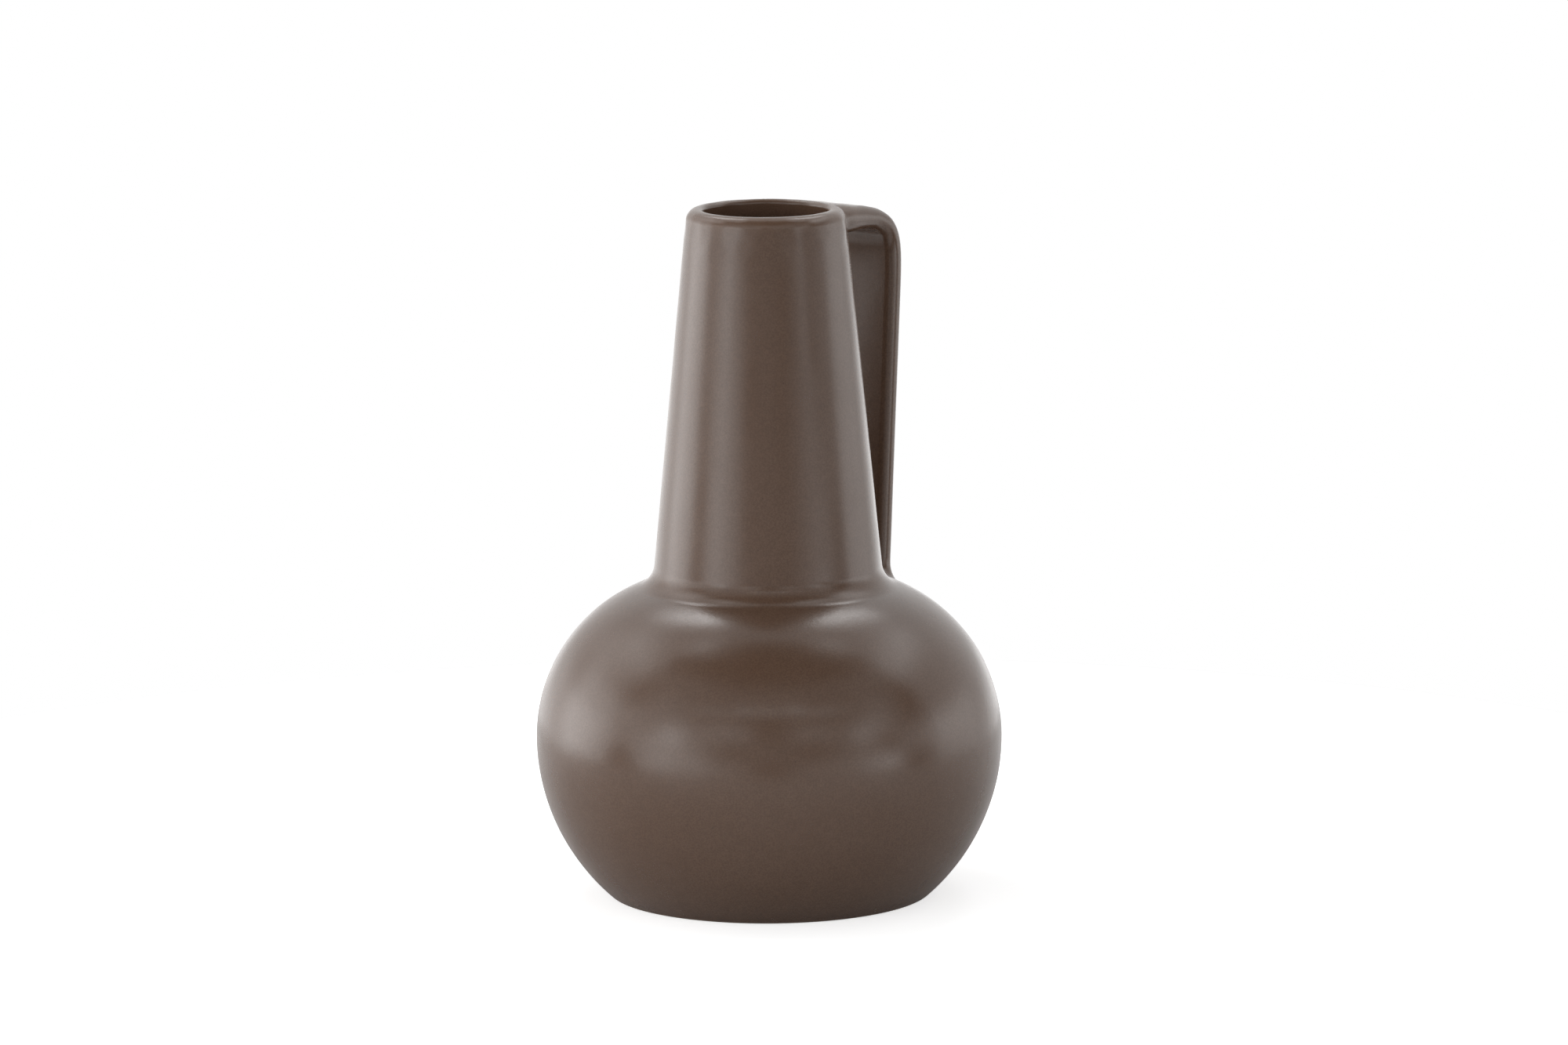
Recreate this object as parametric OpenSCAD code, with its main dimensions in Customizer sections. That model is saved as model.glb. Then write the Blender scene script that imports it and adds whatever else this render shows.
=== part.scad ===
// A bottle vase with a strap handle: a round belly, a tall tapering neck with a thick rounded lip,
// and a flat strap that leaves the lip, bends down and lands on the shoulder.
// It is cast in one piece, so it is one solid: a turned wall with the strap grown onto it.
// Units are millimetres. Z is up, the origin is on the ground below the axis of the neck,
// and the handle points along +Y, to the back.

/* [Belly] */
// Height of the whole vase, from the ground to the crown of the lip
body_h = 230; // [215:1:250]
// Widest diameter of the belly
belly_d = 155; // [147:1:168]
// Height of the widest place above the ground
belly_z = 53; // [48:1:58]
// Radius of the arc from the widest place up over the shoulder
shoulder_r = 54; // [50:1:57]
// Radius of the arc from the widest place down to the foot
lower_r = 70; // [64:1:76]
// Thickness of the wall, from the foot to below the lip
wall = 6; // [4.5:0.5:7.5]

/* [Neck] */
// Diameter of the neck where it stands on the shoulder
neck_d = 76.8; // [72:0.4:84]
// Diameter of the neck at its top, before the lip is rounded
rim_d = 52.5; // [52:0.5:58]
// Diameter of the mouth at its top, before the lip is rounded
mouth_d = 41; // [36:0.5:41.5]
// Radius of the hollow curve between the shoulder and the neck
neck_fillet = 9; // [5:0.5:12]
// Radius of the lip's outer edge
lip_outer_r = 3; // [2:0.2:3.4]
// Radius of the lip's inner edge
lip_inner_r = 2; // [1.2:0.2:2.4]

/* [Foot] */
// Radius of the edge between the belly and the standing ring
foot_round = 2.5; // [1.5:0.5:4]
// Width of the standing ring
ring_w = 9; // [6:0.5:12]
// Slant on the inner edge of the standing ring
ring_bevel = 1; // [0.5:0.1:1.2]
// Depth of the hollow inside the standing ring
recess_h = 2; // [1.5:0.5:3]
// Height of the inner floor above the ground
floor_z = 8; // [7:0.5:10]
// Radius between the inner floor and the wall
floor_round = 8; // [5:0.5:12]

/* [Handle] */
// Reach of the handle, from the axis of the neck to the outermost face of the strap
handle_reach = 59; // [57:0.5:66]
// Width of the strap
handle_w = 26; // [20:1:30]
// Thickness of the strap
handle_t = 7; // [6:0.5:8]
// Thickness of the strap where it leaves the neck
arm_t = 10; // [8.5:0.5:12]
// Drop of the strap's upper face below the crown of the lip, where it leaves the neck
arm_drop = 1; // [1:0.2:4]
// Outer radius of the bend
bend_r = 16; // [13:0.5:19]
// Tilt of the whole strap in degrees: the arm falls outwards and the leg leans inwards
tilt = 3.5; // [1:0.1:4.5]
// Thickness of the strap at its very root, inside the wall of the shoulder
root_t = 9; // [7.5:0.5:12]
// Length over which the strap swells towards its root
root_len = 13; // [10:1:24]

/* [Hidden] */
glaze = "#6e625a";
$fn = 96;

belly_r = belly_d / 2;
lower_c = [belly_r - lower_r, belly_z];
upper_c = [belly_r - shoulder_r, belly_z];

// How far a rounding cuts past the two faces it joins, so that it always meets them cleanly
bite = 0.002;

// How deep the two ends of the strap reach into the wall
root_depth = 1.5;

// Everything that is turned is described by its inset into the wall: 0 is the outside and
// wall is the inside, so that the arcs of both share their centres.

// Height of the shoulder's arc at radius x
function shoulder_z(inset, x) = belly_z + sqrt(pow(shoulder_r - inset, 2) - pow(x - upper_c[0], 2));

// Ends of the straight line of the neck: on the shoulder's arc, and level with the crown of the lip
function neck_foot(inset) = [neck_d / 2 - inset, shoulder_z(inset, neck_d / 2 - inset)];
function neck_head(inset) = [(rim_d - (rim_d - mouth_d) * inset / wall) / 2, body_h];

// Direction of that line, its outward normal, and its radius at height z
function neck_dir(inset) = (neck_head(inset) - neck_foot(inset)) / norm(neck_head(inset) - neck_foot(inset));
function neck_out(inset) = [neck_dir(inset)[1], -neck_dir(inset)[0]];
function neck_x(inset, z) = neck_head(inset)[0] + (z - body_h) * neck_dir(inset)[0] / neck_dir(inset)[1];

// Centre of the curve that touches both the neck's line and the shoulder's arc
function fillet_c(inset) =
    let (from = neck_foot(inset) + neck_out(inset) * (neck_fillet + inset),
         away = from - upper_c,
         along = neck_dir(inset) * away)
    from + neck_dir(inset) * (sqrt(along * along - away * away + pow(shoulder_r + neck_fillet, 2)) - along);

// Corner where the lower arc meets a level floor, and the centre of a rounding of radius r in it
function edge_corner(inset, z) = [lower_c[0] + sqrt(pow(lower_r - inset, 2) - pow(belly_z - z, 2)), z];
function edge_c(inset, z, r) =
    [lower_c[0] + sqrt(pow(lower_r - inset - r, 2) - pow(belly_z - z - r, 2)), z + r];

// Centre of a rounding of radius r at the top of the neck's line, on the side of the wall
function lip_c(inset, r) =
    [neck_x(inset, body_h - r) + (inset == 0 ? -r : r) / neck_dir(inset)[1], body_h - r];

module band(z0, z1) {
    translate([0, z0]) square([belly_r + 5, z1 - z0]);
}

// What lies between a corner and a curve of radius r that touches the faces at a and b
module corner_piece(corner, a, b, centre, r) {
    function past(p) = p + (p - centre) / r;
    difference() {
        polygon([past(corner), past(a), centre, past(b)]);
        translate(centre) circle(r + bite);
    }
}

// Half section of the form at an inset, from a level floor up to the height top
module turned_form(inset, floor_height, round_r, top) {
    edge = edge_c(inset, floor_height, round_r);
    edge_end = lower_c + (edge - lower_c) * (lower_r - inset) / (lower_r - inset - round_r);
    fillet = fillet_c(inset);
    fillet_start = upper_c + (fillet - upper_c) * (shoulder_r - inset) / (shoulder_r + neck_fillet);
    neck_base = belly_z + shoulder_r / 4;

    difference() {
        intersection() {
            translate(lower_c) circle(lower_r - inset);
            band(floor_height, belly_z);
        }
        corner_piece(edge_corner(inset, floor_height), edge_end, [edge[0], floor_height], edge, round_r);
    }
    intersection() {
        translate(upper_c) circle(shoulder_r - inset);
        band(belly_z, belly_z + shoulder_r + 1);
    }
    polygon([[0, neck_base], [neck_x(inset, neck_base), neck_base], [neck_x(inset, top), top], [0, top]]);
    corner_piece(neck_foot(inset), fillet_start, fillet - neck_out(inset) * (neck_fillet + inset),
                 fillet, neck_fillet + inset);
}

// What the two roundings take off the square lip
module lip_corners() {
    outer = lip_c(0, lip_outer_r);
    inner = lip_c(wall, lip_inner_r);
    corner_piece(neck_head(0), outer + neck_out(0) * lip_outer_r, [outer[0], body_h], outer, lip_outer_r);
    corner_piece(neck_head(wall), inner - neck_out(wall) * lip_inner_r, [inner[0], body_h], inner, lip_inner_r);
}

// Hollow under the foot, with a slanted edge where the standing ring begins
module recess() {
    ring_in = edge_c(0, 0, foot_round)[0] - ring_w;
    hollow_r = ring_in - ring_bevel;
    polygon([[0, -1], [ring_in + 1, -1], [hollow_r, ring_bevel], [hollow_r, recess_h], [0, recess_h]]);
}

// The turned wall: belly, neck, lip and foot
module turned_wall() {
    rotate_extrude() difference() {
        turned_form(0, 0, foot_round, body_h);
        turned_form(wall, floor_z, floor_round, body_h + 1);
        lip_corners();
        recess();
    }
}

// Everything deeper in the wall than the two ends of the strap
module inside_the_roots() {
    rotate_extrude() turned_form(root_depth, root_depth, foot_round, body_h + handle_t);
}

// Distance of each rounded edge's own axis from the middle of the strap
edge_x = (handle_w - handle_t) / 2;

module strap_section() {
    square([2 * edge_x, handle_t], center = true);
    for (side = [-1, 1]) translate([side * edge_x, 0]) circle(handle_t / 2);
}

// A straight length of strap along +Z that swells from the strap's own thickness to t_end
module swelling(len, t_end) {
    rotate([0, -90, 0]) linear_extrude(2 * edge_x, center = true)
        polygon([[0, -handle_t / 2], [len, -t_end / 2], [len, t_end / 2], [0, handle_t / 2]]);
    for (side = [-1, 1])
        translate([side * edge_x, 0, 0]) cylinder(h = len, r1 = handle_t / 2, r2 = t_end / 2);
}

// The strap, drawn square about the centre of its bend: an arm to the neck, the bend, and a long leg
module strap_pieces(mid_r, arm_len, arm_end_t, leg_len) {
    translate([0, 0, mid_r]) rotate([90, 0, 0]) swelling(arm_len, arm_end_t);
    rotate([0, 90, 0]) rotate([0, 0, 90]) rotate_extrude(angle = 90)
        translate([mid_r, 0]) rotate(90) strap_section();
    translate([0, mid_r, 0]) rotate([180, 0, 0]) {
        linear_extrude(leg_len - root_len) strap_section();
        translate([0, 0, leg_len - root_len]) swelling(root_len, root_t);
    }
}

// The strap in its place, tilted, and long enough at both ends to reach well into the wall
module strap() {
    mid_r = bend_r - handle_t / 2;
    bend_y = handle_reach - bend_r;
    bend_z = body_h - arm_drop - arm_t / 2 + (rim_d / 2 - bend_y) * tan(tilt) - mid_r / cos(tilt);
    arm_visible = (bend_y - rim_d / 2) / cos(tilt);
    arm_len = (bend_y - mouth_d / 2 + handle_t) / cos(tilt);
    leg_len = (bend_z - shoulder_z(root_depth, handle_reach) + root_depth) / cos(tilt);

    translate([0, bend_y, bend_z]) rotate([-tilt, 0, 0])
        strap_pieces(mid_r, arm_len, handle_t + (arm_t - handle_t) * arm_len / arm_visible, leg_len);
}

module vase() {
    color(glaze) {
        turned_wall();
        difference() {
            strap();
            inside_the_roots();
        }
    }
}

vase();
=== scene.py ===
import math

import bmesh
import bpy
import numpy as np
from mathutils import Matrix, Vector
from mathutils.geometry import delaunay_2d_cdt


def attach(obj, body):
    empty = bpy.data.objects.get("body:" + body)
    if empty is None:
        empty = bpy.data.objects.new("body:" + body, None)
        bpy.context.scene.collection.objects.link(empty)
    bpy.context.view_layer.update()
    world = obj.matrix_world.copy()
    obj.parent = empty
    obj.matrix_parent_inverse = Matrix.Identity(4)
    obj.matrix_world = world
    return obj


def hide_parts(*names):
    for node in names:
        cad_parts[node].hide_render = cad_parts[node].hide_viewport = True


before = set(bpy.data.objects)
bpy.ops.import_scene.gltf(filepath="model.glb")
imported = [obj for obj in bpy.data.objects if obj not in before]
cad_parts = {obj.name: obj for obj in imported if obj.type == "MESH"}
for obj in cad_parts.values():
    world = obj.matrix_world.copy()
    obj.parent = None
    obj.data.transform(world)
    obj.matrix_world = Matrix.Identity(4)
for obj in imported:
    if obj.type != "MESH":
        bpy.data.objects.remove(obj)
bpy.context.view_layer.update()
scene = bpy.context.scene

# The handle points along +Y, and the camera stands this far round from -Y
CAMERA_AZIMUTH = math.radians(38)


# ---------------------------------------------------------------- the form, in millimetres
BELLY_R, BELLY_Z, UPPER_R, LOWER_R, WALL, TOP = 77.5, 53.0, 54.0, 70.0, 6.0, 230.0
UPPER_C = np.array((BELLY_R - UPPER_R, BELLY_Z))
LOWER_C = np.array((BELLY_R - LOWER_R, BELLY_Z))
NECK_FOOT_R, RIM_R, MOUTH_R, NECK_FILLET = 38.4, 26.25, 20.5, 9.0
LIP_OUT, LIP_IN, FOOT_ROUND, FLOOR_Z, FLOOR_ROUND = 4.0, 1.6, 2.5, 8.0, 8.0
RING_W, RECESS_H = 9.0, 2.0
COLUMNS = 240


def unit(v):
    return v / np.linalg.norm(v)


def neck_line(inset):
    """Foot, head, direction and outward normal of the neck's straight line."""
    r = NECK_FOOT_R - inset
    foot = np.array((r, BELLY_Z + math.sqrt((UPPER_R - inset) ** 2 - (r - UPPER_C[0]) ** 2)))
    head = np.array((RIM_R - (RIM_R - MOUTH_R) * inset / WALL, TOP))
    way = unit(head - foot)
    return foot, head, way, np.array((way[1], -way[0]))


def neck_fillet(inset):
    """Centre of the hollow curve at the neck's foot, and where it leaves the shoulder and meets the neck."""
    foot, _, way, out = neck_line(inset)
    r = NECK_FILLET + inset
    start = foot + out * r
    away = start - UPPER_C
    along = way @ away
    centre = start + way * (math.sqrt(along ** 2 - away @ away + (UPPER_R + NECK_FILLET) ** 2) - along)
    return centre, UPPER_C + (centre - UPPER_C) * (UPPER_R - inset) / (UPPER_R + NECK_FILLET), centre - out * r


def low_edge(inset, z, r):
    """Centre of the rounding between the lower arc and a level floor, and where it leaves the arc."""
    centre = np.array((LOWER_C[0] + math.sqrt((LOWER_R - inset - r) ** 2 - (BELLY_Z - z - r) ** 2), z + r))
    return centre, LOWER_C + (centre - LOWER_C) * (LOWER_R - inset) / (LOWER_R - inset - r)


def lip_edge(inset, r):
    """Centre of a rounding of the lip, and where it touches the neck's line."""
    _, head, way, out = neck_line(inset)
    side = -1 if inset == 0 else 1
    x = head[0] - r * way[0] / way[1] + side * r / way[1]
    centre = np.array((x, TOP - r))
    return centre, centre - side * out * r


def straight(a, b, step):
    a, b = np.asarray(a, float), np.asarray(b, float)
    count = max(1, math.ceil(np.linalg.norm(b - a) / step))
    return a + (b - a) * np.linspace(0, 1, count + 1)[:, None]


def curved(centre, start, end, step):
    """Arc about centre from start to end, the short way round."""
    a, b = start - centre, end - centre
    r, a0 = np.linalg.norm(a), math.atan2(a[1], a[0])
    sweep = (math.atan2(b[1], b[0]) - a0 + math.pi) % (2 * math.pi) - math.pi
    t = np.linspace(a0, a0 + sweep, max(2, math.ceil(abs(sweep) * r / step)) + 1)
    return centre + r * np.stack((np.cos(t), np.sin(t)), 1)


def softened(points, radius, step):
    """A path of straight runs whose inner corners are rounded."""
    pts = [np.asarray(p, float) for p in points]
    rows, last = [], pts[0]
    for before, corner, after in zip(pts, pts[1:], pts[2:]):
        u, v = unit(before - corner), unit(after - corner)
        half = math.acos(np.clip(u @ v, -1, 1)) / 2
        a, b = corner + u * radius / math.tan(half), corner + v * radius / math.tan(half)
        centre = corner + unit(u + v) * radius / math.sin(half)
        rows += [straight(last, a, step), curved(centre, a, b, 0.25)]
        last = b
    return rows + [straight(last, pts[-1], step)]


def profile():
    """Runs of (radius, height) from the middle of the hollow under the foot, round the outside and the lip, to the
    middle of the inner floor. Each run comes twice: with the rows of the mesh, and fine enough to measure on."""
    foot_c, foot_up = low_edge(0, 0, FOOT_ROUND)
    ring_out = np.array((foot_c[0], 0.0))
    ring_in = foot_c[0] - RING_W
    fillet_c, fillet_low, fillet_high = neck_fillet(0)
    lip_c, lip_low = lip_edge(0, LIP_OUT)
    mouth_c, mouth_low = lip_edge(WALL, LIP_IN)
    in_c, in_low, in_high = neck_fillet(WALL)
    floor_c, floor_up = low_edge(WALL, FLOOR_Z, FLOOR_ROUND)

    def runs(f):
        rows = softened([(0, RECESS_H), (ring_in - 1, RECESS_H), (ring_in - 1, 1), (ring_in, 0), ring_out], 0.45, 6 * f)
        rows += [
            curved(foot_c, ring_out, foot_up, 0.5 * f),
            curved(LOWER_C, foot_up, np.array((BELLY_R, BELLY_Z)), 2.0 * f),
            curved(UPPER_C, np.array((BELLY_R, BELLY_Z)), fillet_low, 2.0 * f),
            curved(fillet_c, fillet_low, fillet_high, 0.6 * f),
            straight(fillet_high, lip_low + (fillet_high - lip_low) * 0.15, 2.4 * f),
            straight(lip_low + (fillet_high - lip_low) * 0.15, lip_low, 1.1 * f),
            curved(lip_c, lip_low, np.array((lip_c[0], TOP)), 0.5 * f),
            straight((lip_c[0], TOP), (mouth_c[0], TOP), 0.65 * f),
            curved(mouth_c, np.array((mouth_c[0], TOP)), mouth_low, 0.5 * f),
            straight(mouth_low, in_high, 4 * f),
            curved(in_c, in_high, in_low, 1.5 * f),
            curved(UPPER_C, in_low, np.array((BELLY_R - WALL, BELLY_Z)), 3.2 * f),
            curved(LOWER_C, np.array((BELLY_R - WALL, BELLY_Z)), floor_up, 3.2 * f),
            curved(floor_c, floor_up, np.array((floor_c[0], FLOOR_Z)), 1.5 * f),
            straight((floor_c[0], FLOOR_Z), (0, FLOOR_Z), 8 * f),
        ]
        joined = [rows[0]] + [r[1:] for r in rows[1:]]
        return np.concatenate(joined)

    return runs(1.0), runs(0.02)


class Turned:
    """The turned form: its rows, and a way from (angle, run along the profile) to a place and back."""

    def __init__(self):
        self.rows, self.fine = profile()
        self.run = np.concatenate(([0], np.cumsum(np.linalg.norm(np.diff(self.fine, axis=0), axis=1))))
        tangent = np.gradient(self.fine, axis=0)
        tangent /= np.linalg.norm(tangent, axis=1)[:, None]
        self.normal = np.stack((tangent[:, 1], -tangent[:, 0]), 1)
        self.row_run = np.array([self.run_of(p) for p in self.rows])

    def run_of(self, p):
        return self.run[np.argmin(np.sum((self.fine - p) ** 2, axis=1))]

    def place(self, angle, run):
        r, z = np.interp(run, self.run, self.fine[:, 0]), np.interp(run, self.run, self.fine[:, 1])
        return np.stack((r * np.sin(angle), r * np.cos(angle), z), -1)

    def facing(self, angle, run):
        n, m = np.interp(run, self.run, self.normal[:, 0]), np.interp(run, self.run, self.normal[:, 1])
        return np.stack((n * np.sin(angle), n * np.cos(angle), m), -1)


# ---------------------------------------------------------------- the strap's path
# Direction of the arm where it leaves the lip, and how far the leg leans inwards from upright
ARM_HEADING, LEAN = math.radians(-8), math.radians(3.9)
# Where along the path the bend is sharpest, how far it reaches before and after, and how flat its peak is
BEND_AT, BEND_BEFORE, BEND_AFTER, BEND_PEAK = 34.2, 11.4, 10.2, 1.7
# The path follows the strap's upper and outer face
PATH_START, PATH_LENGTH = (24.0, 229.55), 168.0
# Thickness of the strap, and at the lip, the length over which it thins, and each rounded edge's place across
STRAP_T, ARM_T, ARM_SWELL, EDGE_X = 7.0, 10.4, 26.0, 9.5


class Strap:
    """The strap's middle line in the plane of the handle, with its outward normal and half thickness."""

    def __init__(self):
        s = np.linspace(-10, PATH_LENGTH, 3600)
        off = s - BEND_AT
        bend = np.exp(-np.abs(off / np.where(off < 0, BEND_BEFORE, BEND_AFTER)) ** BEND_PEAK)
        turn = np.concatenate(([0], np.cumsum((bend[1:] + bend[:-1]) / 2)))
        heading = ARM_HEADING + (-(math.pi / 2 + LEAN) - ARM_HEADING) * turn / turn[-1]
        step = s[1] - s[0]
        mid = (heading[1:] + heading[:-1]) / 2
        y = np.concatenate(([0], np.cumsum(np.cos(mid)))) * step
        z = np.concatenate(([0], np.cumsum(np.sin(mid)))) * step
        y += PATH_START[0] - np.interp(0, s, y)
        z += PATH_START[1] - np.interp(0, s, z)
        self.out = np.stack((-np.sin(heading), np.cos(heading)), 1)
        u = np.clip(1 - s / ARM_SWELL, 0, 1)
        self.half = (STRAP_T + (ARM_T - STRAP_T) * u * u * (3 - 2 * u)) / 2
        self.s, self.mid = s, np.stack((y, z), 1) - self.out * self.half[:, None]

    def at(self, s):
        pick = lambda v: np.interp(s, self.s, v)
        return (pick(self.mid[:, 0]), pick(self.mid[:, 1]), pick(self.out[:, 0]), pick(self.out[:, 1]), pick(self.half))

    def nearest(self, p):
        """How far along the path each point lies, roughly."""
        coarse = self.mid[::24]
        near = np.empty(len(p), int)
        for a in range(0, len(p), 4000):
            d = ((p[a:a + 4000, None, 1:] - coarse[None]) ** 2).sum(2)
            near[a:a + 4000] = np.argmin(d, axis=1) * 24
        return self.s[near]

    def distance(self, p, s):
        for _ in range(3):
            y, z, ny, nz, half = self.at(s)
            s = np.clip(s + (p[:, 1] - y) * nz - (p[:, 2] - z) * ny, self.s[0], self.s[-1])
        y, z, ny, nz, half = self.at(s)
        off = (p[:, 1] - y) * ny + (p[:, 2] - z) * nz
        return np.hypot(np.maximum(np.abs(p[:, 0]) - EDGE_X, 0), off) - half


# ---------------------------------------------------------------- where turned form and strap run together
# How wide the two run together: at the leg's root, under the arm, and at the crown of the lip
ROOT_BLEND, ARM_BLEND, LIP_BLEND = 6.5, 3.6, 0.5
# Height that parts the strap's two ends, and from where the arm's blend shrinks up to the crown
ENDS_APART_Z, CROWN_BLEND_Z, CROWN_BLEND_H = 170.0, 229.4, 5.0
# The strap fades out inside this radius, from this height up and over this rise, so it stays out of the mouth
CLEAR_R, CLEAR_Z, CLEAR_H = 24.4, 226.0, 3.0


def smooth(u):
    u = np.clip(u, 0, 1)
    return u * u * (3 - 2 * u)


class Skin:
    """Signed distance to the outside of the vase, with the strap blended into neck and shoulder."""

    def __init__(self, strap):
        self.strap = strap
        _, _, self.way, self.out = neck_line(0)
        self.fillet_c, self.fillet_low, self.fillet_high = neck_fillet(0)
        self.lip_c, self.lip_low = lip_edge(0, LIP_OUT)

    def body(self, p):
        q = np.stack((np.hypot(p[:, 0], p[:, 1]), p[:, 2]), 1)
        far = 1e3
        choices = []
        choices.append(np.where((q[:, 0] <= self.lip_c[0]) & (q[:, 1] > TOP - LIP_OUT), q[:, 1] - TOP, far))
        a = q - self.lip_c
        angle = np.arctan2(a[:, 1], a[:, 0])
        lean = math.atan2(self.out[1], self.out[0])
        inside = (angle >= lean - 1e-6) & (angle <= math.pi / 2 + 1e-6)
        choices.append(np.where(inside, np.linalg.norm(a, axis=1) - LIP_OUT, far))
        along = (q - self.fillet_high) @ self.way
        length = (self.lip_low - self.fillet_high) @ self.way
        choices.append(np.where((along >= -1e-6) & (along <= length + 1e-6), (q - self.fillet_high) @ self.out, far))
        a = q - self.fillet_c
        low, high = self.fillet_low - self.fillet_c, self.fillet_high - self.fillet_c
        across = lambda u, v: u[..., 0] * v[..., 1] - u[..., 1] * v[..., 0]
        inside = (across(high, a) >= 0) & (across(a, low) >= 0)
        choices.append(np.where(inside, NECK_FILLET - np.linalg.norm(a, axis=1), far))
        a = q - UPPER_C
        end = self.fillet_low - UPPER_C
        inside = (across(a, end) >= -1e-9) & (a[:, 1] >= -20)
        choices.append(np.where(inside, np.linalg.norm(a, axis=1) - UPPER_R, far))
        d = np.stack(choices, 1)
        return d[np.arange(len(d)), np.argmin(np.abs(d), axis=1)]

    def value(self, p, s):
        a, b = self.body(p), self.strap.distance(p, s)
        z, r = p[:, 2], np.hypot(p[:, 0], p[:, 1])
        b = b + 0.5 * np.clip(CLEAR_R - r, 0, None) ** 2 * smooth((z - CLEAR_Z) / CLEAR_H)
        at_lip = LIP_BLEND + (ARM_BLEND - LIP_BLEND) * smooth((CROWN_BLEND_Z - z) / CROWN_BLEND_H)
        k = np.where(z > ENDS_APART_Z, at_lip, ROOT_BLEND)
        h = np.clip(k - np.abs(a - b), 0, None) / k
        return np.minimum(a, b) - h * h * k / 4

    def slope(self, p, s=None):
        s = self.strap.nearest(p) if s is None else s
        e = 0.02
        g = np.empty_like(p)
        for i in range(3):
            q = p.copy()
            q[:, i] += e
            g[:, i] = self.value(q, s)
            q[:, i] -= 2 * e
            g[:, i] -= self.value(q, s)
        return g / (2 * e)

    def settle(self, p, rounds=6):
        """Moves points along the slope until they lie on the skin."""
        p, s = p.copy(), self.strap.nearest(p)
        for _ in range(rounds):
            g = self.slope(p, s)
            size = np.maximum((g * g).sum(1), 0.2)
            p -= np.clip(self.value(p, s), -1.5, 1.5)[:, None] * g / size[:, None]
        return p


def section(flats=12, rounds=18):
    """Places round the strap's section: the outer face, one edge, the inner face and the other edge."""
    across = np.linspace(-1, 1, flats + 1)
    turn = np.linspace(math.pi / 2, -math.pi / 2, rounds + 1)
    places = [(f, math.pi / 2) for f in across[1:-1]]
    places += [(1, b) for b in turn]
    places += [(f, -math.pi / 2) for f in across[::-1][1:-1]]
    places += [(-1, b) for b in turn[::-1]]
    return places


def strap_point(strap, flat, beta, s):
    """Point of the strap's skin: flat runs -1 to 1 across the middle, beta is the angle round an edge."""
    y, z, ny, nz, half = strap.at(np.asarray(s, float))
    edge = abs(flat) >= 1
    x = flat * EDGE_X + (np.sign(flat) * half * math.cos(beta) if edge else 0 * half)
    off = half * math.sin(beta)
    return np.stack((x, y + ny * off, z + nz * off), -1)


def seam(strap, skin, places, outside, inside):
    """For each place of the section, how far along the strap it meets the turned form."""
    found = []
    for flat, beta in places:
        s = np.linspace(outside, inside, 240)
        d = skin.body(strap_point(strap, flat, beta, s))
        i = int(np.argmax(d < 0))
        lo, hi = s[i - 1], s[i]
        for _ in range(40):
            m = (lo + hi) / 2
            if skin.body(strap_point(strap, flat, beta, [m]))[0] < 0:
                hi = m
            else:
                lo = m
        found.append((lo + hi) / 2)
    return np.array(found)


def stations(start, end):
    """Places along the strap, close together near its ends and round the bend."""
    s, rows = start, [start]
    while s < end:
        gap = min(s - start, end - s)
        step = 0.4 + 0.22 * gap
        step = min(step, 1.0 if abs(s - BEND_AT) < 16 else 2.2)
        s += step
        rows.append(s)
    rows = np.array(rows)
    return (rows - rows[0]) / (rows[-1] - rows[0])


def from_loop(points, loop):
    """Distance of points from a closed loop, and whether they lie inside it."""
    a, b = loop, np.roll(loop, -1, axis=0)
    d = b - a
    t = np.clip(((points[:, None] - a) * d).sum(2) / (d * d).sum(1), 0, 1)
    gap = np.linalg.norm(points[:, None] - (a + t[..., None] * d), axis=2).min(1)
    x, y = points[:, 0][:, None], points[:, 1][:, None]
    passes = (a[:, 1] > y) != (b[:, 1] > y)
    hit = passes & (x < (b[:, 0] - a[:, 0]) * (y - a[:, 1]) / (b[:, 1] - a[:, 1] + 1e-12) + a[:, 0])
    return gap, hit.sum(1) % 2 == 1


# A patch's rings follow the strap's seam at these distances, and end this far from the patch's border. Past the
# rings, its points lie evenly at this step.
RING_OFFSETS, RING_MARGIN, RINGS_END, PATCH_STEP = (0.5, 1.05, 1.7, 2.45, 3.3, 4.3, 5.5), 0.45, 6.4, 1.25


def patch_points(loop, low, high):
    """Points between the corners low and high and a loop: rings that follow the loop, then an even spread."""
    ahead = np.roll(loop, -1, axis=0) - np.roll(loop, 1, axis=0)
    ahead /= np.linalg.norm(ahead, axis=1)[:, None]
    out = np.stack((ahead[:, 1], -ahead[:, 0]), 1)
    if from_loop(loop + out * 0.05, loop)[1].mean() > 0.5:
        out = -out
    rings = np.concatenate([loop + out * off for off in RING_OFFSETS])
    keep = ((rings > low + RING_MARGIN) & (rings < high - RING_MARGIN)).all(1) & ~from_loop(rings, loop)[1]
    rings = rings[keep]
    h = PATCH_STEP
    xs, ys = np.arange(low[0] + h, high[0] - 0.6 * h, h), np.arange(low[1] + h, high[1] - 0.6 * h, h * 0.87)
    grid = np.array([(x + (h / 2 if k % 2 else 0), y) for k, y in enumerate(ys) for x in xs])
    grid = grid[(grid[:, 0] < high[0] - 0.6 * h)]
    gap, inside = from_loop(grid, loop)
    grid = grid[(gap > RINGS_END) & ~inside]
    return np.concatenate((rings, grid))


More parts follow.
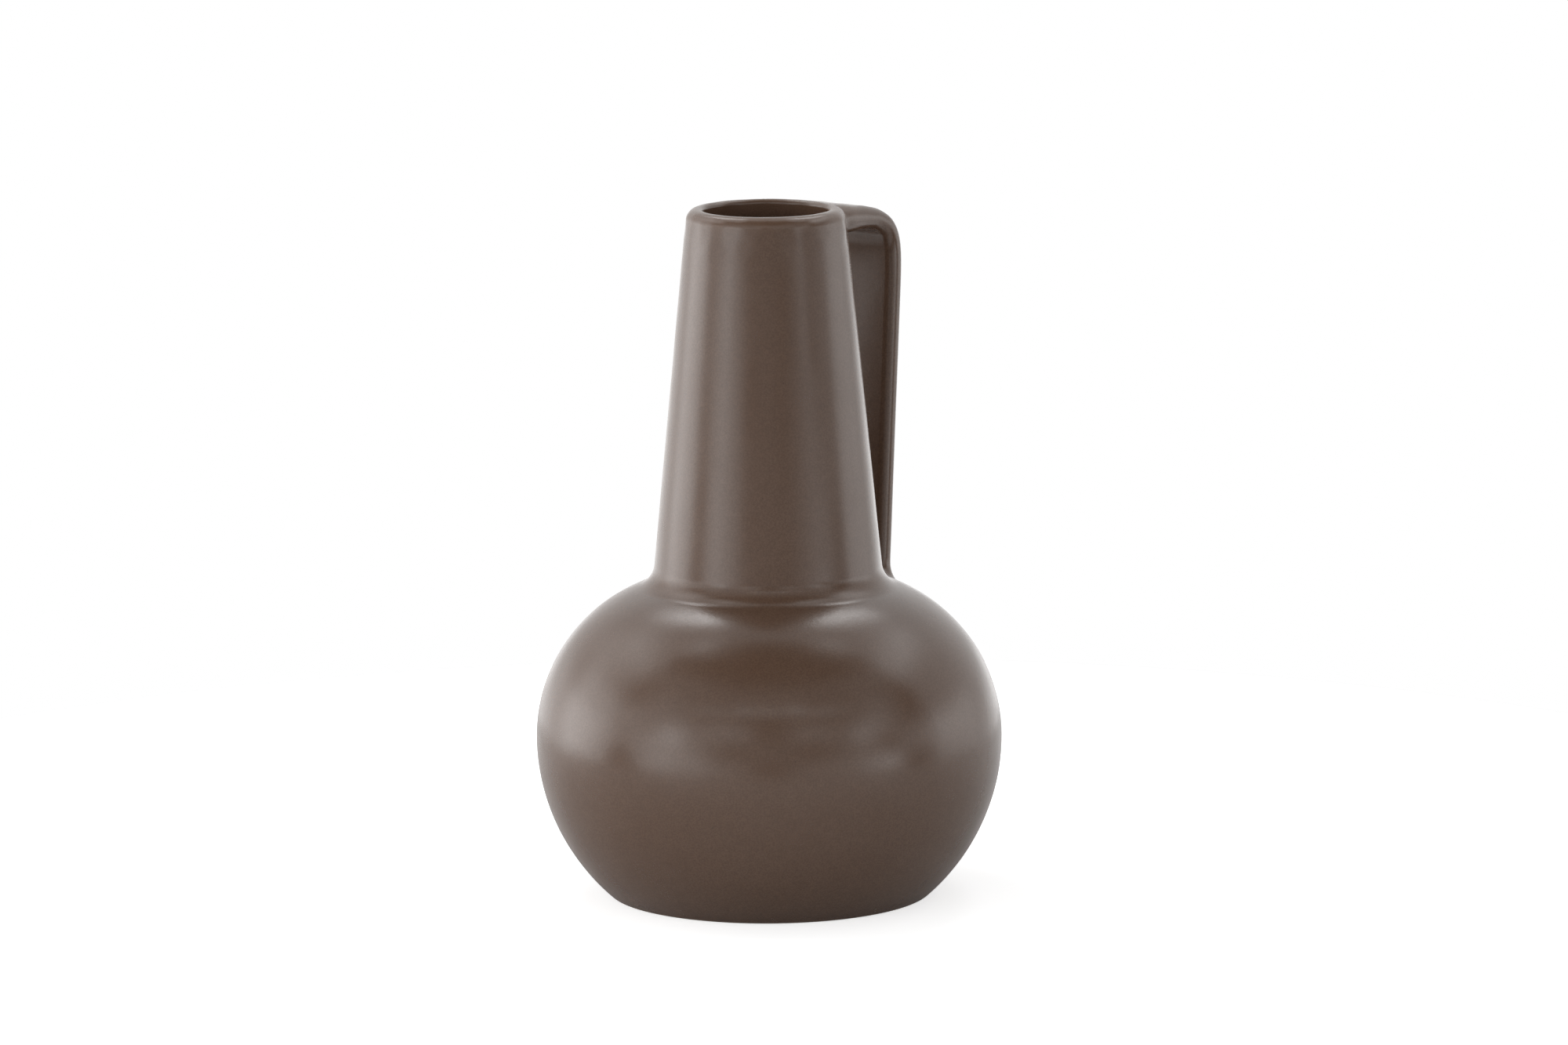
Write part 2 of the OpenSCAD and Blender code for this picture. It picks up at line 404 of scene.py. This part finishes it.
class Waves:
    """The unevenness of clay: a sum of shallow waves, always into the wall, and its slope."""

    def __init__(self, seed, depth, length, count, strength):
        pick = np.random.RandomState(seed)
        way = pick.normal(size=(count, 3))
        way /= np.linalg.norm(way, axis=1)[:, None]
        self.k = way * (2 * math.pi / (length * pick.uniform(0.75, 1.35, count)))[:, None]
        self.phase = pick.uniform(0, 2 * math.pi, count)
        self.each = depth / math.sqrt(count)
        self.depth, self.strength = depth, strength

    def at(self, p):
        turn = p @ self.k.T + self.phase
        w = self.strength(p[:, 2])
        off = w * (self.each * np.cos(turn).sum(1) - 1.6 * self.depth)
        slope = -w[:, None] * self.each * (np.sin(turn) @ self.k)
        return np.minimum(off, 0), slope


# Slow waves all over but for the standing ring, and short ones from the top of the neck up, also on the strap there
CLAY = [
    Waves(5, 0.030, 26, 16, lambda z: smooth((z - 3) / 8)),
    Waves(8, 0.085, 7.5, 24, lambda z: smooth((z - 211) / 14) * (1 - 0.6 * smooth((z - 228.6) / 1.2))),
]


def vase_mesh():
    """The whole skin as one closed mesh: turned rows, the strap's rows, and a patch where each end lands."""
    turned, strap = Turned(), Strap()
    skin = Skin(strap)
    places = section()
    count = len(places)
    arm_ends = seam(strap, skin, places, 16, -9)
    leg_ends = seam(strap, skin, places, 118, PATH_LENGTH)
    along = stations(0.0, float(np.mean(leg_ends) - np.mean(arm_ends)))

    rows = turned.rows
    last = len(rows) - 1
    angles = np.arange(COLUMNS) * 2 * math.pi / COLUMNS
    verts, normals, faces = [], [], []
    index = {}
    for i in range(len(rows)):
        if i in (0, last):
            index[i] = [len(verts)] * COLUMNS
            verts.append((0, 0, rows[i][1]))
            normals.append((0, 0, -1 if i == 0 else 1))
            continue
        ring = turned.place(angles, np.full(COLUMNS, turned.row_run[i]))
        facing = turned.facing(angles, np.full(COLUMNS, turned.row_run[i]))
        index[i] = list(range(len(verts), len(verts) + COLUMNS))
        verts += list(map(tuple, ring))
        normals += list(map(tuple, facing))

    lip_c = skin.lip_c
    crown = turned.run_of(np.array((lip_c[0] - 0.3, TOP)))
    row_near = lambda run: int(np.argmin(np.abs(turned.row_run - run)))
    # The two patches that the strap lands on: their rows, half their columns, and the radius that flattens them
    row_at = lambda r, z: row_near(turned.run_of(np.array((r, z))))
    blocks = [
        dict(top=row_near(crown), bottom=row_at(27.8, 208), half=38, scale=26.0, first=True),
        dict(top=row_at(37.5, 113), bottom=row_at(68, 84), half=26, scale=50.0, first=False),
    ]

    # Strap: one row of points for each station, its two ends shared with the patches
    strap_index = []
    for share in along:
        row = []
        for (flat, beta), a, b in zip(places, arm_ends, leg_ends):
            p = strap_point(strap, flat, beta, [a + (b - a) * share])[0]
            row.append(len(verts))
            verts.append(tuple(p))
            normals.append((0, 0, 0))
        strap_index.append(row)
    for upper, lower in zip(strap_index, strap_index[1:]):
        for i in range(count):
            j = (i + 1) % count
            faces.append((upper[i], upper[j], lower[j], lower[i]))

    free = set()
    covered = set()
    for block in blocks:
        i0, i1, half, scale = block["bottom"], block["top"], block["half"], block["scale"]
        ends = strap_index[0] if block["first"] else strap_index[-1]
        loop3 = np.array([verts[v] for v in ends])
        loop = np.stack((np.arctan2(loop3[:, 0], loop3[:, 1]) * scale,
                         [turned.run_of(np.array((math.hypot(x, y), z))) for x, y, z in loop3]), 1)
        low = np.array((-half * 2 * math.pi / COLUMNS * scale, turned.row_run[i0]))
        high = np.array((-low[0], turned.row_run[i1]))
        border = [(i0, c) for c in range(-half, half)] + [(i, half) for i in range(i0, i1)]
        border += [(i1, c) for c in range(half, -half, -1)] + [(i, -half) for i in range(i1, i0, -1)]
        flat_border = np.array([(c * 2 * math.pi / COLUMNS * scale, turned.row_run[i]) for i, c in border])
        border_ids = [index[i][c % COLUMNS] for i, c in border]
        inner = patch_points(loop, low, high)
        points = np.concatenate((flat_border, loop, inner))
        nb, nl = len(border), len(loop)
        edges = [(i, (i + 1) % nb) for i in range(nb)] + [(nb + i, nb + (i + 1) % nl) for i in range(nl)]
        made = delaunay_2d_cdt([Vector(map(float, p)) for p in points], edges, [], 0, 1e-7)
        out_points, tris, origin = made[0], made[2], made[3]
        if any(len(o) == 0 for o in origin):
            raise RuntimeError("the patch's triangulation added a point")
        ids = {}
        for n, o in enumerate(origin):
            k = o[0]
            if k < nb:
                ids[n] = border_ids[k]
            elif k < nb + nl:
                ids[n] = ends[k - nb]
            else:
                angle, run = points[k][0] / scale, points[k][1]
                ids[n] = len(verts)
                verts.append(tuple(turned.place(angle, run)))
                normals.append((0, 0, 0))
                free.add(ids[n])
        flat = np.array([(p[0], p[1]) for p in out_points])
        centres = np.array([flat[list(t)].mean(0) for t in tris])
        inside = from_loop(centres, loop)[1]
        for t, hole in zip(tris, inside):
            if not hole:
                faces.append(tuple(ids[n] for n in t))
        for i in range(i0, i1):
            for c in range(-half, half):
                covered.add((i, c % COLUMNS))

    for i in range(last):
        for c in range(COLUMNS):
            if (i, c) in covered:
                continue
            d = (c + 1) % COLUMNS
            quad = (index[i][c], index[i][d], index[i + 1][d], index[i + 1][c])
            quad = tuple(dict.fromkeys(quad))
            faces.append(quad)

    # The strap's own points and the patches' points settle on the blended skin, evenly spread
    verts = np.array(verts, float)
    moving = sorted(free | {v for row in strap_index for v in row})
    moving = np.array(moving)
    verts[moving] = skin.settle(verts[moving])
    links = {int(v): set() for v in moving}
    for f in faces:
        for a, b in zip(f, f[1:] + f[:1]):
            if a in links:
                links[a].add(b)
            if b in links:
                links[b].add(a)
    ring_rows = [v for row in strap_index[:9] + strap_index[-9:] for v in row]
    easing = np.array(sorted(free | set(ring_rows)))
    neighbours = [np.array(sorted(links[int(v)])) for v in easing]
    for _ in range(5):
        middle = np.array([verts[n].mean(0) for n in neighbours])
        g = skin.slope(verts[easing])
        g /= np.linalg.norm(g, axis=1)[:, None]
        move = (middle - verts[easing]) * 0.45
        move -= (move * g).sum(1)[:, None] * g
        verts[easing] += move
        verts[easing] = skin.settle(verts[easing], 2)
    normals = np.array(normals, float)
    g = skin.slope(verts[moving])
    normals[moving] = g / np.linalg.norm(g, axis=1)[:, None]

    # The clay's waves, on places and normals alike
    shift, lean = np.zeros(len(verts)), np.zeros_like(verts)
    for waves in CLAY:
        off, slope = waves.at(verts)
        shift, lean = shift + off, lean + slope
    lean -= (lean * normals).sum(1)[:, None] * normals
    verts += normals * shift[:, None]
    verts[:, 2] = np.minimum(verts[:, 2], TOP)
    normals -= lean
    normals /= np.linalg.norm(normals, axis=1)[:, None]

    used = np.unique(np.concatenate([np.array(f) for f in faces]))
    renumber = -np.ones(len(verts), int)
    renumber[used] = np.arange(len(used))
    faces = [tuple(int(renumber[v]) for v in f) for f in faces]
    mesh = bpy.data.meshes.new("vase_skin")
    mesh.from_pydata([tuple(v * 0.001) for v in verts[used]], [], faces)
    bm = bmesh.new()
    bm.from_mesh(mesh)
    bmesh.ops.recalc_face_normals(bm, faces=bm.faces)
    open_edges = sum(1 for e in bm.edges if len(e.link_faces) != 2)
    bm.to_mesh(mesh)
    bm.free()
    mesh.shade_smooth()
    mesh.normals_split_custom_set_from_vertices([tuple(n) for n in normals[used]])
    triangles = sum(len(p.vertices) - 2 for p in mesh.polygons)
    print("vase mesh:", len(mesh.vertices), "points,", triangles, "triangles,", open_edges, "open edges")
    return mesh


# ---------------------------------------------------------------- nodes
def new_material(name):
    mat = bpy.data.materials.new(name)
    mat.use_nodes = True
    mat.node_tree.nodes.clear()
    return mat


def node(tree, kind, **values):
    made = tree.nodes.new(kind)
    for key, value in values.items():
        setattr(made, key, value)
    return made


def noise(t, where, size_mm, detail=2.0, rough=0.5, w=0.0):
    """Noise with features of about size_mm, 0 to 1."""
    made = node(t, "ShaderNodeTexNoise", noise_dimensions="4D")
    made.inputs["Scale"].default_value = 1 / size_mm
    made.inputs["Detail"].default_value = detail
    made.inputs["Roughness"].default_value = rough
    made.inputs["W"].default_value = w
    t.links.new(where, made.inputs["Vector"])
    return made.outputs["Fac"]


def spread(t, value, from_low, from_high, low, high):
    """Value stretched from one range to another, and held inside it."""
    made = node(t, "ShaderNodeMapRange", clamp=True, interpolation_type="SMOOTHSTEP")
    t.links.new(value, made.inputs[0])
    for i, v in enumerate((from_low, from_high, low, high)):
        made.inputs[i + 1].default_value = v
    return made.outputs[0]


def maths(t, kind, a, b):
    made = node(t, "ShaderNodeMath", operation=kind)
    for socket, v in zip(made.inputs, (a, b)):
        if isinstance(v, (int, float)):
            socket.default_value = v
        else:
            t.links.new(v, socket)
    return made.outputs[0]


def colours(t, fac, a, b):
    """Mix of two colours, each a colour or a socket."""
    made = node(t, "ShaderNodeMix", data_type="RGBA")
    t.links.new(fac, made.inputs[0])
    for socket, v in ((made.inputs[6], a), (made.inputs[7], b)):
        if isinstance(v, tuple):
            socket.default_value = (*v, 1)
        else:
            t.links.new(v, socket)
    return made.outputs[2]


def glaze_material():
    mat = new_material("satin_glaze")
    t = mat.node_tree
    link = t.links.new
    out = node(t, "ShaderNodeOutputMaterial")
    bsdf = node(t, "ShaderNodeBsdfPrincipled")
    link(bsdf.outputs[0], out.inputs[0])
    place = node(t, "ShaderNodeTexCoord")
    in_mm = node(t, "ShaderNodeVectorMath", operation="SCALE")
    in_mm.inputs[3].default_value = 1000
    link(place.outputs["Object"], in_mm.inputs[0])
    where = in_mm.outputs[0]
    axes = node(t, "ShaderNodeSeparateXYZ")
    link(where, axes.inputs[0])
    height = axes.outputs[2]

    # Colour: clouds in the glaze, a finer mottle, and grain
    clouds = spread(t, noise(t, where, 34, 3, 0.5, 1.3), 0.30, 0.70, 0, 1)
    tone = colours(t, clouds, (0.126, 0.0742, 0.0493), (0.135, 0.0822, 0.0566))
    mottle = spread(t, noise(t, where, 3.2, 3, 0.6, 4.1), 0.30, 0.70, 0, 1)
    tone = colours(t, spread(t, mottle, 0, 1, 0.30, 0.0), tone, (0.107, 0.0620, 0.0404))
    grain = spread(t, noise(t, where, 0.55, 2, 0.6, 7.7), 0.32, 0.68, 0, 1)
    tone = colours(t, spread(t, grain, 0, 1, 0.62, 0.0), tone, (0.085, 0.0494, 0.0326))
    # Sparse iron specks, well under a millimetre
    cell = node(t, "ShaderNodeTexVoronoi", feature="F1")
    cell.inputs["Scale"].default_value = 1 / 3.4
    link(where, cell.inputs["Vector"])
    lot = node(t, "ShaderNodeSeparateColor")
    link(cell.outputs["Color"], lot.inputs[0])
    chosen = maths(t, "GREATER_THAN", lot.outputs[0], 0.82)
    size = spread(t, lot.outputs[1], 0, 1, 0.045, 0.085)
    inside = spread(t, maths(t, "DIVIDE", cell.outputs["Distance"], size), 0.6, 1.3, 1, 0)
    speck = maths(t, "MULTIPLY", maths(t, "MULTIPLY", chosen, inside), 0.55)
    tone = colours(t, speck, tone, (0.045, 0.028, 0.020))
    # The glaze is thinner and browner on the lip, where it runs back while it melts
    edge_wave = noise(t, where, 9, 2, 0.5, 2.2)
    lip = spread(t, maths(t, "ADD", height, maths(t, "MULTIPLY", edge_wave, 5.0)), 226.6, 231.5, 0, 1)
    lip = maths(t, "MULTIPLY", lip, 0.55)
    tone = colours(t, lip, tone, (0.150, 0.088, 0.058))
    # Bare clay on the standing ring, wiped clean of glaze before firing
    wiped = maths(t, "ADD", height, maths(t, "MULTIPLY", noise(t, where, 2.5, 2, 0.6, 5.5), 0.5))
    bare = spread(t, wiped, 0.55, 1.0, 1, 0)
    clay = colours(t, grain, (0.235, 0.175, 0.128), (0.315, 0.245, 0.185))
    tone = colours(t, bare, tone, clay)
    link(tone, bsdf.inputs["Base Color"])

    # Gloss: satin, a touch uneven, and dull where the clay is bare
    rough = spread(t, noise(t, where, 16, 2, 0.5, 9.4), 0.3, 0.7, 0.20, 0.25)
    rough = maths(t, "ADD", rough, spread(t, grain, 0, 1, 0.03, 0.0))
    dull = node(t, "ShaderNodeMix", data_type="FLOAT")
    link(bare, dull.inputs[0])
    link(rough, dull.inputs[2])
    dull.inputs[3].default_value = 0.85
    link(dull.outputs[0], bsdf.inputs["Roughness"])

    # Relief in millimetres: eggshell grain, and a faint orange peel
    fine = maths(t, "MULTIPLY", noise(t, where, 0.6, 2, 0.55, 3.3), 0.024)
    peel = maths(t, "MULTIPLY", noise(t, where, 4.5, 1, 0.5, 6.6), 0.030)
    relief = maths(t, "ADD", fine, peel)
    bump = node(t, "ShaderNodeBump")
    bump.inputs["Strength"].default_value = 1.0
    bump.inputs["Distance"].default_value = 0.001
    link(relief, bump.inputs["Height"])
    link(bump.outputs[0], bsdf.inputs["Normal"])
    bsdf.inputs["IOR"].default_value = 1.5
    return mat


# ---------------------------------------------------------------- camera
def camera():
    # Fitted to the photograph's outline: the lens in pixels of its 2000 across, the distance in metres, the rise and
    # roll in radians, and where in the picture the middle of the belly's widest ring lies
    lens_px = 11479.6
    distance, rise, roll = 3.0, 0.19528, -0.00634
    aim, seen_at = Vector((0, 0, BELLY_Z * 0.001)), (981.178, 936.59)
    turn = Matrix.Rotation(CAMERA_AZIMUTH, 3, "Z")
    place = aim + turn @ Vector((0, -distance * math.cos(rise), distance * math.sin(rise)))
    ahead = (aim - place).normalized()
    right = turn @ Vector((1, 0, 0))
    up = right.cross(ahead)
    basis = Matrix((right, up, ahead)).transposed()
    ray = Vector(((seen_at[0] - 1000) / lens_px, -(seen_at[1] - 666.5) / lens_px, 1)).normalized()
    aimed = ray.rotation_difference(Vector((0, 0, 1))).to_matrix()
    basis = basis @ Matrix.Rotation(roll, 3, "Z") @ aimed
    right, up, ahead = basis.transposed()
    data = bpy.data.cameras.new("camera")
    data.sensor_width = 36
    data.lens = lens_px * 36 / 2000
    data.clip_start, data.clip_end = 0.1, 50
    obj = bpy.data.objects.new("camera", data)
    obj.matrix_world = Matrix.Translation(place) @ Matrix((right, up, -ahead)).transposed().to_4x4()
    scene.collection.objects.link(obj)
    scene.camera = obj


# ---------------------------------------------------------------- light and surroundings
# Softboxes stand in overlapping rings 1.5 m round the vase. Each ring is given by the elevation of its middle and its
# height, and each lamp in it by azimuth from the camera's side, width, and how bright the middle of its cloth is, where
# 1 is plain white. Angles are in degrees, as seen from the vase.
SOFTBOXES = {
    (-6, 22): [(-160, 68, 0.55), (-132, 48, 0.59), (-112, 38, 2.81), (-94, 36, 2.21), (-58, 36, 3.33),
        (-40, 38, 2.44), (-20, 40, 1.33), (20, 40, 1), (40, 38, 1.15), (58, 36, 2.94), (94, 36, 0.84),
        (112, 38, 0.62), (160, 68, 0.83)],
    (5, 22): [(-132, 48, 0.66), (-112, 38, 3.1), (-94, 36, 2.9), (-76, 36, 1.53), (-58, 36, 2.58), (-40, 38, 1.8),
        (0, 40, 0.73), (40, 38, 0.61), (76, 36, 1.26), (94, 36, 1.57), (112, 38, 1.02)],
    (12, 24): [(48, 24, 1.62)],
    (13, 24): [(-50, 24, 2.9)],
    (17, 24): [(-112, 38, 1.84), (-94, 36, 1.83), (-76, 36, 1.93), (-58, 36, 1.12), (-40, 38, 1.16),
        (-20, 40, 1.79), (20, 40, 1.27), (40, 38, 0.64), (58, 36, 1.36)],
    (29, 24): [(-115, 65, 0.94), (-60, 49, 1.36), (60, 49, 0.87)],
    (31.5, 8): [(-32, 40, 2.6), (32, 40, 2.14)],
    (33.5, 8): [(0, 46, 2.5)],
    (34, 7): [(-15, 12, 4), (16, 12, 4)],
    (44, 30): [(-110, 75, 1.64), (-75, 70, 0.59), (-40, 75, 0.64), (0, 70, 0.45), (40, 75, 0.46), (75, 70, 0.53),
        (110, 75, 1.65)],
    (56, 36): [(-150, 30, 6.9), (150, 30, 5.9)],
    (68, 26): [(-88, 60, 1.84), (88, 60, 1.36)],
}
# In metres: the height that lamps and dark half are set round, their distances, and the table's radius and bevel
ROUND_HEIGHT = 0.11
SOFTBOX_AWAY = 1.5
DARK_AWAY = 2.4
TABLE_R, TABLE_BEVEL, TABLE_SIDES = 0.42, 0.004, 96


def from_vase(azimuth, elevation, away):
    """A place seen from the vase, with the azimuth taken from the camera's side."""
    az, el = CAMERA_AZIMUTH + math.radians(azimuth), math.radians(elevation)
    way = Vector((math.sin(az) * math.cos(el), -math.cos(az) * math.cos(el), math.sin(el)))
    return Vector((0, 0, ROUND_HEIGHT)) + way * away, way


def soft_edges(data):
    """Fades a lamp's cloth from its middle to nothing at its edges."""
    data.use_nodes = True
    t = data.node_tree
    t.nodes.clear()
    out = node(t, "ShaderNodeOutputLight")
    cloth = node(t, "ShaderNodeEmission")
    place = node(t, "ShaderNodeNewGeometry")
    parts = node(t, "ShaderNodeSeparateXYZ")
    t.links.new(place.outputs["Parametric"], parts.inputs[0])
    waves = [maths(t, "SINE", maths(t, "MULTIPLY", parts.outputs[i], math.pi), 0.0) for i in (0, 1)]
    t.links.new(maths(t, "POWER", maths(t, "MULTIPLY", *waves), 2.0), cloth.inputs[1])
    t.links.new(cloth.outputs[0], out.inputs[0])


def softbox(name, azimuth, elevation, wide, high, bright):
    spot, way = from_vase(azimuth, elevation, SOFTBOX_AWAY)
    data = bpy.data.lights.new(name, "AREA")
    data.shape = "RECTANGLE"
    data.size = 2 * SOFTBOX_AWAY * math.tan(math.radians(wide / 2)) * math.cos(math.radians(min(elevation, 80)))
    data.size_y = 2 * SOFTBOX_AWAY * math.tan(math.radians(high / 2))
    data.energy = bright * math.pi * data.size * data.size_y
    soft_edges(data)
    obj = bpy.data.objects.new(name, data)
    obj.location = spot
    obj.rotation_euler = way.to_track_quat("Z", "Y").to_euler()
    obj.visible_camera = False
    scene.collection.objects.link(obj)


def seen_share(t, mirrored=1.0):
    """1 for what the camera sees, a share for what is mirrored or seen through something clear, and else 0."""
    path = node(t, "ShaderNodeLightPath")
    through = maths(t, "MAXIMUM", path.outputs["Is Glossy Ray"], path.outputs["Is Transmission Ray"])
    return maths(t, "MAXIMUM", path.outputs["Is Camera Ray"], maths(t, "MULTIPLY", through, mirrored))


def white_world():
    """White for whatever is seen or mirrored, and a dim even light for the rest."""
    world = bpy.data.worlds.new("studio")
    scene.world = world
    world.use_nodes = True
    t = world.node_tree
    t.nodes.clear()
    link = t.links.new
    out = node(t, "ShaderNodeOutputWorld")
    seen = node(t, "ShaderNodeBackground")
    seen.inputs[0].default_value = (1, 1, 1, 1)
    seen.inputs[1].default_value = 1.0
    room = node(t, "ShaderNodeBackground")
    room.inputs[0].default_value = (1, 1, 1, 1)
    room.inputs[1].default_value = 0.3
    pick = node(t, "ShaderNodeMixShader")
    link(seen_share(t), pick.inputs[0])
    link(room.outputs[0], pick.inputs[1])
    link(seen.outputs[0], pick.inputs[2])
    link(pick.outputs[0], out.inputs[0])


def dark_half():
    """The unlit half of the studio, behind the camera, which the vase mirrors and the camera doesn't see."""
    mat = new_material("studio_dark")
    t = mat.node_tree
    out = node(t, "ShaderNodeOutputMaterial")
    cloth = node(t, "ShaderNodeBsdfDiffuse")
    cloth.inputs[0].default_value = (0.03, 0.03, 0.03, 1)
    t.links.new(cloth.outputs[0], out.inputs[0])
    azimuths, elevations = range(-88, 89, 11), range(-30, 91, 10)
    verts = [from_vase(az, el, DARK_AWAY)[0] for el in elevations for az in azimuths]
    n = len(azimuths)
    faces = [(i * n + j, i * n + j + 1, (i + 1) * n + j + 1, (i + 1) * n + j)
             for i in range(len(elevations) - 1) for j in range(n - 1)]
    mesh = bpy.data.meshes.new("studio_dark_half")
    mesh.from_pydata(verts, [], faces)
    mesh.materials.append(mat)
    obj = bpy.data.objects.new("studio_dark_half", mesh)
    obj.visible_camera = False
    scene.collection.objects.link(obj)


def table_material():
    """White that takes the vase's shadow and glows a little. What the vase mirrors of the glow fades near the foot, a
    painted shade that stands for the vase's shadow on the table round its foot.
    """
    mat = new_material("table_white")
    t = mat.node_tree
    link = t.links.new
    out = node(t, "ShaderNodeOutputMaterial")
    white = node(t, "ShaderNodeBsdfDiffuse")
    white.inputs[0].default_value = (0.8, 0.8, 0.8, 1)
    glow = node(t, "ShaderNodeEmission")
    glow.inputs[0].default_value = (1, 1, 1, 1)
    place = node(t, "ShaderNodeTexCoord")
    away = node(t, "ShaderNodeVectorMath", operation="LENGTH")
    link(place.outputs["Object"], away.inputs[0])
    # Painted shade: the glow that the vase mirrors fades out towards the foot, in place of the vase's shadow on the
    # table
    mirrored = spread(t, away.outputs["Value"], 0.06, 0.32, 0.0, 0.42)
    link(maths(t, "MULTIPLY", seen_share(t, mirrored), 0.66), glow.inputs[1])
    both = node(t, "ShaderNodeAddShader")
    link(white.outputs[0], both.inputs[0])
    link(glow.outputs[0], both.inputs[1])
    link(both.outputs[0], out.inputs[0])
    return mat


def table():
    """The round white table top that the vase stands on."""
    n = TABLE_SIDES
    around = [i * 2 * math.pi / n for i in range(n)]
    rows = [(TABLE_R, -0.02), (TABLE_R, -TABLE_BEVEL), (TABLE_R - TABLE_BEVEL, 0)]
    verts = [(r * math.cos(a), r * math.sin(a), z) for r, z in rows for a in around]
    faces = [tuple(range(2 * n, 3 * n))]
    faces += [(k * n + i, k * n + (i + 1) % n, (k + 1) * n + (i + 1) % n, (k + 1) * n + i)
              for k in range(2) for i in range(n)]
    mesh = bpy.data.meshes.new("table")
    mesh.from_pydata(verts, [], faces)
    mesh.materials.append(table_material())
    obj = bpy.data.objects.new("table", mesh)
    scene.collection.objects.link(obj)


camera()
white_world()
dark_half()
table()
for (elevation, high), lamps in SOFTBOXES.items():
    for azimuth, wide, bright in lamps:
        softbox(f"softbox_{elevation}_{azimuth}", azimuth, elevation, wide, high, bright)
scene.view_settings.view_transform = "Standard"

vase = bpy.data.objects.new("vase_glazed", vase_mesh())
scene.collection.objects.link(vase)
vase.data.materials.append(glaze_material())
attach(vase, "root")
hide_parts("vase")
